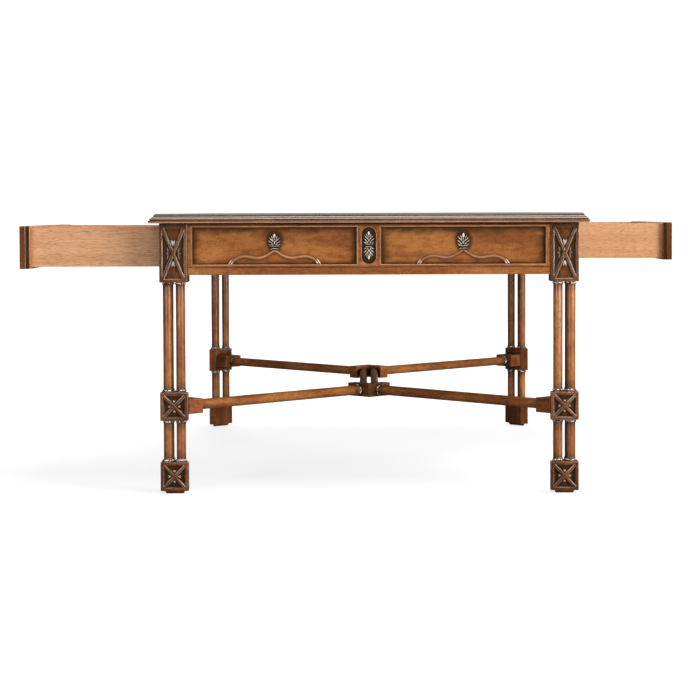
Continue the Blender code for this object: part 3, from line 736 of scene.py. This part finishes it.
# The near hub is a darker copy than the far hub's rail mahogany: painted shade
mahogany_hub = mahogany("shaded_mahogany_hub", 0, depth=0.6, rub_and_highlight=0.9, ruddy=True)
mahogany_socket = {turn: mahogany(f"antiqued_mahogany_socket_{name}", 0,
                                  turn * eighth_turn, depth=0.3, rub_and_highlight=0.8, ruddy=True)
                   for turn, name in ((-1, "rising"), (1, "falling"))}
mahogany_bead = mahogany("antiqued_mahogany_bead", 0, rub_and_highlight=0.5, crest_and_highlight=0.16, hollow_width=4 * mm)
mahogany_strand = mahogany("rubbed_lit_mahogany_moulding", 0, rub_and_highlight=0.5, crest_and_highlight=0.16, hollow_width=3 * mm)
mahogany_end = mahogany("antiqued_mahogany_end_grain", 2, depth=0.6, rub_and_highlight=0.6,
                        hollow_width=4 * mm, arris=1.6 * mm, ruddy=True)
# A near-black copy: painted shade in the fronts' rebates and the carvings' cores
mahogany_painted_shade = mahogany("painted_shade_mahogany", 2, depth=0.93, rub_and_highlight=0.0, polish=0.2)

# The top, glazed nearly black under a dull coat, and its edge in darker and lighter copies: a slope
# darker as painted shade, glossy beads with painted highlights, and a lip painted lighter with a
# rubbed edge painted with highlight
mahogany_top = mahogany("antiqued_mahogany_top", 1, depth=0.88, rub_and_highlight=0.1, polish=0.2, coarse=0.18)
mahogany_slope = mahogany("shaded_mahogany_slope", 1, depth=0.95, rub_and_highlight=0.0, polish=0.3,
                          lacquer="clear_lacquer")
mahogany_fine_bead = mahogany("rubbed_lit_mahogany_fine_bead", 1, depth=0.85, rub_and_highlight=0.7,
                              crest_and_highlight=0.25, hollow_width=3 * mm, polish=1.0,
                              lacquer="clear_lacquer", film=1.66)
mahogany_lip = mahogany("lit_mahogany_lip", 1, depth=0.6, rub_and_highlight=0.0)
mahogany_lip_edge = mahogany("rubbed_lit_mahogany_lip_edge", 1, rub_and_highlight=0.6, crest_and_highlight=0.8,
                             hollow_width=4 * mm)

# Fretted blocks, redder and darker, with glazing and painted shade in the pockets and under the
# capital's head, and bar arrises rubbed and painted with highlights nearly white
pocket_ground = leg_width / 2 - fret_depth
fretted = {"hollow_width": 8 * mm, "polish": 0.3, "coarse": 0.05, "ruddy": True}
mahogany_block = {
    "capital": mahogany(
        "antiqued_mahogany_capital", 2, depth=0.58, rub_and_highlight=1.0, arris=1.8 * mm, ends=(leg_high.z,),
        pocket=(pocket_ground, (leg_low.z + fret_border + leg_high.z - fret_head_border) / 2),
        **fretted),
    "mid_block": mahogany(
        "antiqued_mahogany_mid_block", 2, depth=0.5, rub_and_highlight=1.0, arris=1.6 * mm,
        pocket=(pocket_ground, (mid_low.z + mid_high.z) / 2), **fretted),
    "foot_block": mahogany(
        "antiqued_mahogany_foot", 2, depth=0.6, rub_and_highlight=0.9, arris=1.6 * mm, alone=True,
        pocket=(pocket_ground, foot_high.z / 2), **fretted)}

# Turnings with a dull sheen and painted shade towards their collars; the collars are a near-black
# copy, painted shade, with their tips painted with glints in spots
turned = {"polish": 0.2, "coarse": 0.08, "lacquer": "clear_lacquer"}
mahogany_column = mahogany(
    "antiqued_mahogany_column", 2, ends=(leg_low.z, mid_high.z, mid_low.z, foot_high.z), **turned)
mahogany_collar = mahogany("shaded_glinting_mahogany_collar", 2, depth=0.88, rub_and_highlight=0.2, crest_and_highlight=0.9,
                           hollow_width=2.5 * mm, carved=True, polish=1.0, glint_spots=True)

# Carving: tips rubbed to the pale wood and painted with near-white highlights over gaps of painted
# shade; petals beside a tall fret's crossing are a darker copy, painted shade
mahogany_carved = mahogany("carved_mahogany", 2, depth=0.85, rub_and_highlight=1.0, crest_and_highlight=0.9,
                           hollow_width=3.5 * mm, arris=1.0 * mm, carved=True)
petal = {"hollow_width": 2 * mm, "arris": 1.1 * mm, "carved": True}
mahogany_petal = mahogany("rubbed_lit_mahogany_petals", 2, depth=0.15, rub_and_highlight=1.0, crest_and_highlight=1.0, **petal)
mahogany_shaded_petal = mahogany("shaded_mahogany_petals", 2, depth=0.6, rub_and_highlight=0.6, crest_and_highlight=0.3, **petal)
# The drawers' oak differ in warmth as painted light and shade: the right, more lit, is deeper
oak_left = sealed_oak("sealed_oak_left", 0, warmth=0.8)
oak_right = sealed_oak("sealed_oak_right", 0, warmth=1.0)
oak_inner = sealed_oak("sealed_oak_inner", 0, warmth=0.6)


# Top

top_edge = 12.7 * mm
# The profile of the edge from the flat of the top down: a slope, a quirk, two fine beads, a
# second quirk and the lip
edge_inset_shares = (1, 0.97, 0.92, 0.84, 0.77, 0.71, 0.67, 0.665, 0.7, 0.7, 0.64, 0.56, 0.48,
                     0.43, 0.41, 0.42, 0.44, 0.43, 0.34, 0.25, 0.18, 0.14, 0.135, 0.17, 0.22,
                     0.22, 0.15, 0.05, 0.01, 0, 0, 0.02, 0.07, 0.15)
edge_drop_shares = (0, 0.01, 0.035, 0.075, 0.12, 0.165, 0.2, 0.205, 0.225, 0.285, 0.3, 0.31,
                    0.345, 0.39, 0.43, 0.44, 0.455, 0.47, 0.48, 0.51, 0.55, 0.6, 0.625, 0.635,
                    0.65, 0.69, 0.7, 0.715, 0.74, 0.79, 0.88, 0.94, 0.98, 1)
# The finishes of the edge, each from a share of its height down to the next, darker or lighter as
# light falls on the moulding
edge_finishes = ((0.001, mahogany_slope), (0.2, mahogany_fine_bead), (0.57, mahogany_lip),
                 (0.84, mahogany_lip_edge))


def top_mesh():
    """Moulded top: a rounded upper slope, two fine beads and a rounded lip under them."""
    shape = bmesh.new()
    thickness = top_high.z - top_low.z
    rings = []
    # The first ring, in from the moulding, keeps the flat of the top out of its rounding
    for inset_share, drop_share in zip((1.5, *edge_inset_shares), (0, *edge_drop_shares)):
        x = top_high.x - inset_share * top_edge
        y = top_high.y - inset_share * top_edge
        z = top_high.z - drop_share * thickness
        rings.append([shape.verts.new((*corner, z))
                      for corner in ((-x, -y), (x, -y), (x, y), (-x, y))])
    skin(shape, rings)

    def finish_number(face):
        drop_share = (top_high.z - face.center.z) / thickness
        underside = drop_share > 0.99
        return 0 if underside else sum(drop_share > share for share, finish in edge_finishes)

    finishes = [mahogany_top, *(finish for share, finish in edge_finishes)]
    return finished(mesh_of(shape, "moulded_top", smooth_angle=32), finishes, finish_number)


stand("top_board", top_mesh(), mahogany_top, Matrix(), stands_for=["table_top"])

# End aprons

apron_low, apron_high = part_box("end_apron_near")
panel_low = apron_low.z + 17.5 * mm
panel_high = top_low.z - 6.3 * mm
panel_near, panel_far = 20.5 * mm, inner_leg_x - 7.8 * mm
panel_middle = (panel_near + panel_far) / 2
tablet_height = panel_high - panel_low - 2.1 * mm
quirk_z = apron_low.z + 13.3 * mm
over = 2 * mm  # how far a cut runs past the board
apron_field = (panel_middle, (panel_far - panel_near) / 2,
               (panel_low + panel_high) / 2, (panel_high - panel_low) / 2)
mahogany_apron = mahogany("antiqued_mahogany_apron", 0, depth=0.06, field=apron_field,
                          tablet=tablet_width / 2)

apron_stock = block((apron_low.x, apron_high.x), (0, apron_thickness), (apron_low.z, apron_high.z))
apron_cuts = [block((side * panel_near, side * panel_far)[::side], (-over, panel_depth),
                    (panel_low, panel_high)) for side in (-1, 1)]
quirk_half = 0.6 * mm
apron_cuts.append(block((apron_low.x - over, apron_high.x + over), (-over, 2 * quirk_half),
                        (quirk_z - quirk_half, quirk_z + quirk_half)))
apron_cuts.append(slab([(x, z + apron_field[2]) for x, z in tablet_outline(0)],
                       (-over, tablet_depth)))
apron_board = eased(cut_from(apron_stock, apron_cuts), 0.35 * mm)
apron_bead = bead_mesh((panel_near, panel_far), (panel_low, panel_high))
ogee = ogee_mesh()
slips = slips_mesh()
pine_cone_carving = cone_mesh()
tablet_carving = tablet_carving_mesh()
tablet_rim = tablet_rim_mesh()


def stand_ornament(name, foot_spot, body="frame", cone_gap=0.0, pull=()):
    """Stands the ogee, the slips of leaf and the pine cone over the foot of a panel."""
    stand(f"{name}_ogee", ogee, mahogany_strand, foot_spot, body)
    stand(f"{name}_slips", slips, mahogany_petal, foot_spot, body)
    stand(f"{name}_cone", pine_cone_carving, mahogany_carved,
          foot_spot @ moved(0, panel_depth - cone_gap, cone_seat), body, stands_for=pull)


def stand_tablet(name, spot):
    """Stands the carving and the rim of a tablet."""
    stand(f"{name}_tablet", tablet_carving, mahogany_carved, spot)
    stand(f"{name}_tablet_rim", tablet_rim, mahogany_strand, spot)


for end, turn in (("near", 0), ("far", math.pi)):
    side = 1 if end == "near" else -1
    spot = facing(0, -side * end_face_y, turn)
    stand(f"{end}_apron_board", apron_board, mahogany_apron, spot, stands_for=[f"end_apron_{end}"])
    stand_tablet(f"{end}_apron", spot @ moved(0, 0, apron_field[2]))
    for half, x in (("left", -panel_middle), ("right", panel_middle)):
        stand(f"{end}_apron_{half}_bead", apron_bead, mahogany_bead,
              spot @ moved(x - panel_middle, 0, 0))
        stand_ornament(f"{end}_apron_{half}", spot @ moved(x, 0, panel_low))

# Drawer fronts and false fronts

front_low, front_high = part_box("left_drawer_front")
front_half = (front_high.y - front_low.y) / 2
front_border = 4.5 * mm
front_x = (front_border - front_half, front_half - front_border)
front_z = (front_low.z + front_border, front_high.z - front_border)
front_field = (0, front_half - front_border, (front_z[0] + front_z[1]) / 2,
               (front_z[1] - front_z[0]) / 2)
mahogany_front = mahogany("antiqued_mahogany_front", 0, field=front_field)
front_stock = block((-front_half, front_half), (0, front_thickness), (front_low.z, front_high.z))
# A rebate along each end sets a strip back behind the front's own edge, painted near-black as shade
front_edge = 10.5 * mm
rebate_depth = 2.2 * mm
rebate_z = (front_low.z - over, front_high.z + over)
front_cuts = [block(front_x, (-over, panel_depth), front_z)]
front_cuts += [block((side * (front_half - rebate_depth), side * (front_half + over))[::side],
                     (front_edge, front_thickness + over), rebate_z) for side in (-1, 1)]


def front_finish_number(face):
    """Number of the finish of a front's face, ends, rebates or back."""
    at_end = abs(face.center.x) > front_half - rebate_depth - 0.4 * mm
    if at_end and abs(face.normal.x) > 0.3:
        return 1 if face.center.y < front_edge else 2
    return 3 if face.normal.y > 0.9 else 0


front_board = finished(eased(cut_from(front_stock, front_cuts), 0.5 * mm),
                       (mahogany_front, mahogany_end, mahogany_painted_shade, oak_inner),
                       front_finish_number)
front_bead = bead_mesh(front_x, front_z)

for node, body in (("left_drawer_front", "left_drawer"), ("right_drawer_front", "right_drawer"),
                   ("false_front_left_far", "frame"), ("false_front_right_near", "frame")):
    side = -1 if "left" in node else 1
    low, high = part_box(node)
    face_x = (high.x - front_thickness if side < 0 else low.x + front_thickness)
    spot = facing(face_x, (low.y + high.y) / 2, side * quarter_turn)
    stand(f"{node}_board", front_board, mahogany_front, spot, body, stands_for=[node])
    stand(f"{node}_bead", front_bead, mahogany_bead, spot, body)
    pull = [node.replace("front", "pull")] if body != "frame" else []
    stand_ornament(node, spot @ moved(0, 0, front_z[0]), body, fit_gap, pull)

# Stiles and rails of the long sides

stile_low, stile_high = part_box("side_stile_left")
stile_half = (stile_high.y - stile_low.y) / 2
stile_stock = block((-stile_half, stile_half), (0, front_thickness), (stile_low.z, stile_high.z))
stile_cut = slab([(x, z + front_field[2]) for x, z in tablet_outline(0)], (-over, tablet_depth))
stile_board = eased(cut_from(stile_stock, [stile_cut]), 0.35 * mm)
for name, side in (("left", -1), ("right", 1)):
    spot = facing(side * side_face_x, 0, side * quarter_turn)
    stand(f"{name}_stile_board", stile_board, mahogany_stile, spot,
          stands_for=[f"side_stile_{name}"])
    stand_tablet(f"{name}_stile", spot @ moved(0, 0, front_field[2]))

# Legs


def collar(face, way):
    """Profile of a turned collar from its flat face at a block: neck, bead, quirk and shaft."""
    steps = [(8.2, 0), (8.9, 0.1), (9.1, 0.7), (9.3, 1.0)]
    bead_radius, bead_rise, bead_steps = 8.7, 2.6, 8
    for i in range(bead_steps + 1):
        turn = -quarter_turn + math.pi * i / bead_steps
        steps.append((bead_radius + 1.5 * math.cos(turn), bead_rise + 1.6 * math.sin(turn)))
    # The last ring keeps the collar's curve out of the shading of the long straight shaft
    steps += [(8.55, 4.4), (8.9, 4.7), (8.9, 5.3), (8.6, 5.7), (8.5, 6.2), (8.5, 7.2)]
    return [(radius * mm, face + way * rise * mm) for radius, rise in steps]


def with_dark_collars(mesh, material, ends):
    """Mesh with a second material round the collars, which stand at the ends (face, way)."""
    collar_height = 4.4 * mm
    return finished(mesh, (material, mahogany_collar), lambda face: any(
        0 < way * (face.center.z - end) < collar_height for end, way in ends))


def column_mesh():
    """One turned column in three lengths: it is thin inside the blocks it passes."""
    head = leg_low.z - fit_gap
    base = foot_high.z + fit_gap
    core, dowel_length = 5.5 * mm, 12 * mm
    profile = [(core, head + dowel_length), (core, head)]
    profile += collar(head, -1)
    profile += reversed(collar(mid_high.z + fit_gap, 1))
    profile += [(core, mid_high.z + fit_gap), (core, mid_low.z - fit_gap)]
    profile += collar(mid_low.z - fit_gap, -1)
    profile += reversed(collar(base, 1))
    profile += [(core, base), (core, base - dowel_length)]
    shape = bmesh.new()
    turned_into(shape, profile)
    ends = ((head, -1), (mid_high.z + fit_gap, 1), (mid_low.z - fit_gap, -1), (base, 1))
    mesh = mesh_of(shape, "turned_column", smooth_angle=40)
    return with_dark_collars(mesh, mahogany_column, ends)


def rod_mesh(length):
    """One turned rod of the stretcher, upright, with a collar and a dowel at each end."""
    dowel_radius, dowel_length = 6 * mm, 13 * mm
    thicker = 1.12
    profile = [(dowel_radius, length + dowel_length), (dowel_radius, length)]
    profile += [(radius * thicker, z) for radius, z in collar(length, -1)]
    profile += [(radius * thicker, z) for radius, z in reversed(collar(0, 1))]
    profile += [(dowel_radius, 0), (dowel_radius, -dowel_length)]
    shape = bmesh.new()
    turned_into(shape, profile)
    mesh = mesh_of(shape, "turned_rod", smooth_angle=40)
    return with_dark_collars(mesh, mahogany_rod, ((length, -1), (0, 1)))


def petals_mesh(low, high, head_border, fans):
    """Carved petals in the four pockets of a fret, on both outer faces of a block.

    A fan has the distance of its foot from the crossing, and (lean, length, width) of each petal.
    """
    middle_z = (low + fret_border + high - head_border) / 2
    shape = bmesh.new()
    for turn in (0, -quarter_turn):
        face = Matrix.Rotation(turn, 4, "Z") @ moved(0, -leg_width / 2 + fret_depth, middle_z)
        for way, (start, petals) in enumerate(fans):
            foot = face @ Matrix.Rotation(way * quarter_turn, 4, "Y") @ moved(0, 0, start * mm)
            for lean, length, width in petals:
                leaf(shape, length * mm, width * mm, rise=2.2 * mm, curl=0.3 * mm,
                     spot=foot @ Matrix.Rotation(lean, 4, "Y"))
    # In a tall fret the petals beside the crossing get the darker copy: painted shade
    level_height = 12.2 * mm
    tall = high - middle_z > level_height + 15 * mm
    mesh = mesh_of(shape, "fret_petals", smooth_angle=30)
    return finished(mesh, (mahogany_petal, mahogany_shaded_petal),
                    lambda face: tall and abs(face.center.z - middle_z) < level_height)


def leg_frame(x_side, y_side, quarter):
    """Place of a leg, turned so that its fretted faces look outwards."""
    middle = moved(x_side * leg_x, y_side * leg_y, 0)
    return middle @ Matrix.Rotation(quarter_turn * quarter, 4, "Z")


def fret_block(node, width=0.8 * mm):
    """The node's block with its arrises eased, drawn in the frame of the near left leg."""
    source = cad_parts[node].data.copy()
    source.materials.clear()
    source.transform(leg_frame(-1, -1, 0).inverted())
    return eased(source, width)


column = column_mesh()
blocks = {part: fret_block(f"{part}_near_left") for part in mahogany_block}
# Fans of petals in mm: (distance of the foot from the crossing, (lean, length, width) of each)
upright_fan = (13.3, ((-0.24, 11.5, 3.4), (0.24, 11.5, 3.4)))
level_fan = (9, ((-1.42, 12, 2.8), (0, 4.5, 2.8), (1.42, 12, 2.8)))
tall_petals = petals_mesh(leg_low.z, leg_high.z, fret_head_border,
                          (upright_fan, level_fan, upright_fan, level_fan))
short_fan = (7, ((-0.34, 4.8, 2), (0.34, 4.8, 2)))
mid_petals = petals_mesh(mid_low.z, mid_high.z, fret_border, (short_fan,) * 4)
foot_petals = petals_mesh(5.4 * mm, foot_high.z, fret_border, (short_fan,) * 4)
socket_length = 34 * mm
hub_wing_length = 59.4 * mm
inner_chamfer = 33.5 * mm
chamfer_distance = (leg_width - inner_chamfer) / math.sqrt(2)
rod_start = chamfer_distance + socket_length + 2 * fit_gap
rod_length = leg_x * math.sqrt(2) - hub_wing_length / 2 - rod_start - fit_gap
mahogany_rod = mahogany("antiqued_mahogany_rod", 2, ends=(0, rod_length), **turned)
rod = rod_mesh(rod_length)
rod_z = sum(corner.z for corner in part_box("stretcher_bar_left")) / 2
corners = (("near_left", -1, -1), ("near_right", 1, -1), ("far_right", 1, 1), ("far_left", -1, 1))

for quarter, (corner, x_side, y_side) in enumerate(corners):
    leg = leg_frame(x_side, y_side, quarter)
    for part, carving in (("capital", tall_petals), ("mid_block", mid_petals),
                          ("foot_block", foot_petals)):
        stand(f"{corner}_{part}", blocks[part], mahogany_block[part], leg,
              stands_for=[f"{part}_{corner}"])
        stand(f"{corner}_{part}_petals", carving, mahogany_petal, leg)
    for spot_name in ("corner", "end", "side"):
        node = f"column_{corner}_{spot_name}"
        low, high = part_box(node)
        stand(f"{corner}_{spot_name}_column", column, mahogany_column,
              moved((low.x + high.x) / 2, (low.y + high.y) / 2, 0), stands_for=[node])
    step = rod_start / math.sqrt(2)
    rod_spot = leg @ moved(step, step, rod_z) @ Matrix.Rotation(eighth_turn, 4, "Z")
    rod_spot = rod_spot @ Matrix.Rotation(quarter_turn, 4, "Y")
    stand(f"{corner}_rod", rod, mahogany_rod, rod_spot, stands_for=[f"stretcher_rod_{corner}"])


# Pieces whose CAD shape is kept


def finish_node(name, material, ease=0.5 * mm):
    """Gives a CAD node its material and takes its arrises off by the ease."""
    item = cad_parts[name]
    item.data.materials.clear()
    item.data.materials.append(material)
    weld = item.modifiers.new("joined", "WELD")
    weld.merge_threshold = weld_distance
    bevel = item.modifiers.new("eased", "BEVEL")
    bevel.width = ease
    bevel.segments = 2
    bevel.limit_method = "ANGLE"
    bevel.angle_limit = math.radians(30)


for corner, turn in (("near_left", -1), ("far_right", -1), ("near_right", 1), ("far_left", 1)):
    finish_node(f"rod_socket_{corner}", mahogany_socket[turn], 1.1 * mm)
finish_node("stretcher_hub_near", mahogany_hub, 1 * mm)
finish_node("stretcher_hub_far", mahogany_across, 1 * mm)
for name in ("stretcher_bar_left", "stretcher_bar_right", "side_rail_left", "side_rail_right"):
    finish_node(name, mahogany_long)
for name in ("runner_near_end", "runner_far_end", "runner_centre"):
    finish_node(name, oak_inner)
for name, oak in (("left", oak_left), ("right", oak_right)):
    for part in ("near_side", "far_side", "back", "bottom"):
        finish_node(f"{name}_drawer_{part}", oak_inner if part == "bottom" else oak, 0.8 * mm)


# Studio: a pale floor, a white dome that only the camera sees, and soft boxes

studio_radius = 40


def studio_surface(name, shape, colour, glow, far_glow=None, near=1.5, far=6.0):
    """Matt stage surface; with distance its own light goes from the glow to the far glow."""
    material, add, shader = new_finish(name)
    if far_glow:
        away = add(length_of, own_places(add)[0])
        glow = add(smooth, away, near, far, glow, far_glow)
    feed(shader, {
        "Base Color": paint(colour), "Roughness": 0.9, "Specular IOR Level": 0.0,
        "Emission Color": paint("studio_white"), "Emission Strength": glow})
    mesh = to_mesh(shape, name)
    mesh.materials.append(material)
    item = set_out(name, mesh)
    return item


def studio_dome():
    """White sky that only the camera sees."""
    shape = bmesh.new()
    bmesh.ops.create_uvsphere(shape, u_segments=32, v_segments=16, radius=studio_radius)
    dome = studio_surface("studio_dome", shape, "studio_black", 1.1)
    for ray in ("diffuse", "glossy", "transmission", "shadow"):
        setattr(dome, f"visible_{ray}", False)


def studio_floor():
    """Pale floor, whiter with its distance, that sends no light back to the table."""
    shape = bmesh.new()
    bmesh.ops.create_circle(shape, cap_ends=True, segments=64, radius=studio_radius - 1)
    floor = studio_surface("studio_floor", shape, "studio_grey", 0.76, 1.1)
    floor.visible_diffuse = False
    floor.visible_glossy = False


def soft_box(name, place, size, power, target=(0, 0, 0.3), mirrored=True, lights=True):
    """Lights a box of the size (across, up) and the power in watts, turned to its target."""
    light = bpy.data.lights.new(name, "AREA")
    light.shape = "RECTANGLE"
    light.size, light.size_y = size
    light.energy = power
    item = set_out(name, light)
    item.location = place
    item.rotation_euler = (Vector(target) - Vector(place)).to_track_quat("-Z", "Y").to_euler()
    item.visible_camera = False
    item.visible_glossy = mirrored
    item.visible_diffuse = lights


def studio_world(brightness):
    world = bpy.data.worlds.new("studio")
    bpy.context.scene.world = world
    world.use_nodes = True
    backdrop = world.node_tree.nodes["Background"]
    backdrop.inputs["Color"].default_value = paint("studio_white")
    backdrop.inputs["Strength"].default_value = brightness


studio_dome()
studio_floor()
studio_world(0.06)
soft_box("overhead_box", (1.7, -0.5, 3.2), (5.0, 3.8), 224, (1.7, -0.5, 0))
# The low boxes aren't mirrored, or the top would glare white from behind; low strips are instead
soft_box("key_box", (4.1, -4.0, 0.85), (2.6, 1.6), 290, mirrored=False)
soft_box("side_box", (4.2, 0.4, 0.7), (1.4, 0.9), 80, mirrored=False)
soft_box("left_box", (-2.7, -4.4, 0.75), (1.4, 1.0), 78, mirrored=False)
soft_box("right_strip", (4.1, -4.0, 0.34), (2.6, 0.6), 110, lights=False)
soft_box("left_strip", (-2.7, -4.4, 0.34), (1.4, 0.6), 50, lights=False)
soft_box("fill_box", (0.4, -4.6, 1.5), (2.4, 1.0), 30)
soft_box("back_box", (-0.4, 4.5, 2.4), (2.6, 1.4), 140, mirrored=False)


def photo_camera():
    """Camera at the photograph's place, fitted to the table's own marks."""
    data = bpy.data.cameras.new("photo_camera")
    data.sensor_width = 36
    data.lens = 102.61
    data.shift_y = -0.0818
    data.clip_end = 200
    item = set_out("photo_camera", data)
    yaw, pitch, roll = -0.008, 0.0404, -0.0033
    turn = (Matrix.Rotation(-yaw, 4, "Z") @ Matrix.Rotation(quarter_turn - pitch, 4, "X")
            @ Matrix.Rotation(roll, 4, "Z"))
    item.matrix_world = moved(-0.00553, -4.18994, 0.50991) @ turn
    bpy.context.scene.camera = item


photo_camera()
bpy.context.scene.view_settings.view_transform = "Standard"
bpy.context.scene.view_settings.look = "None"
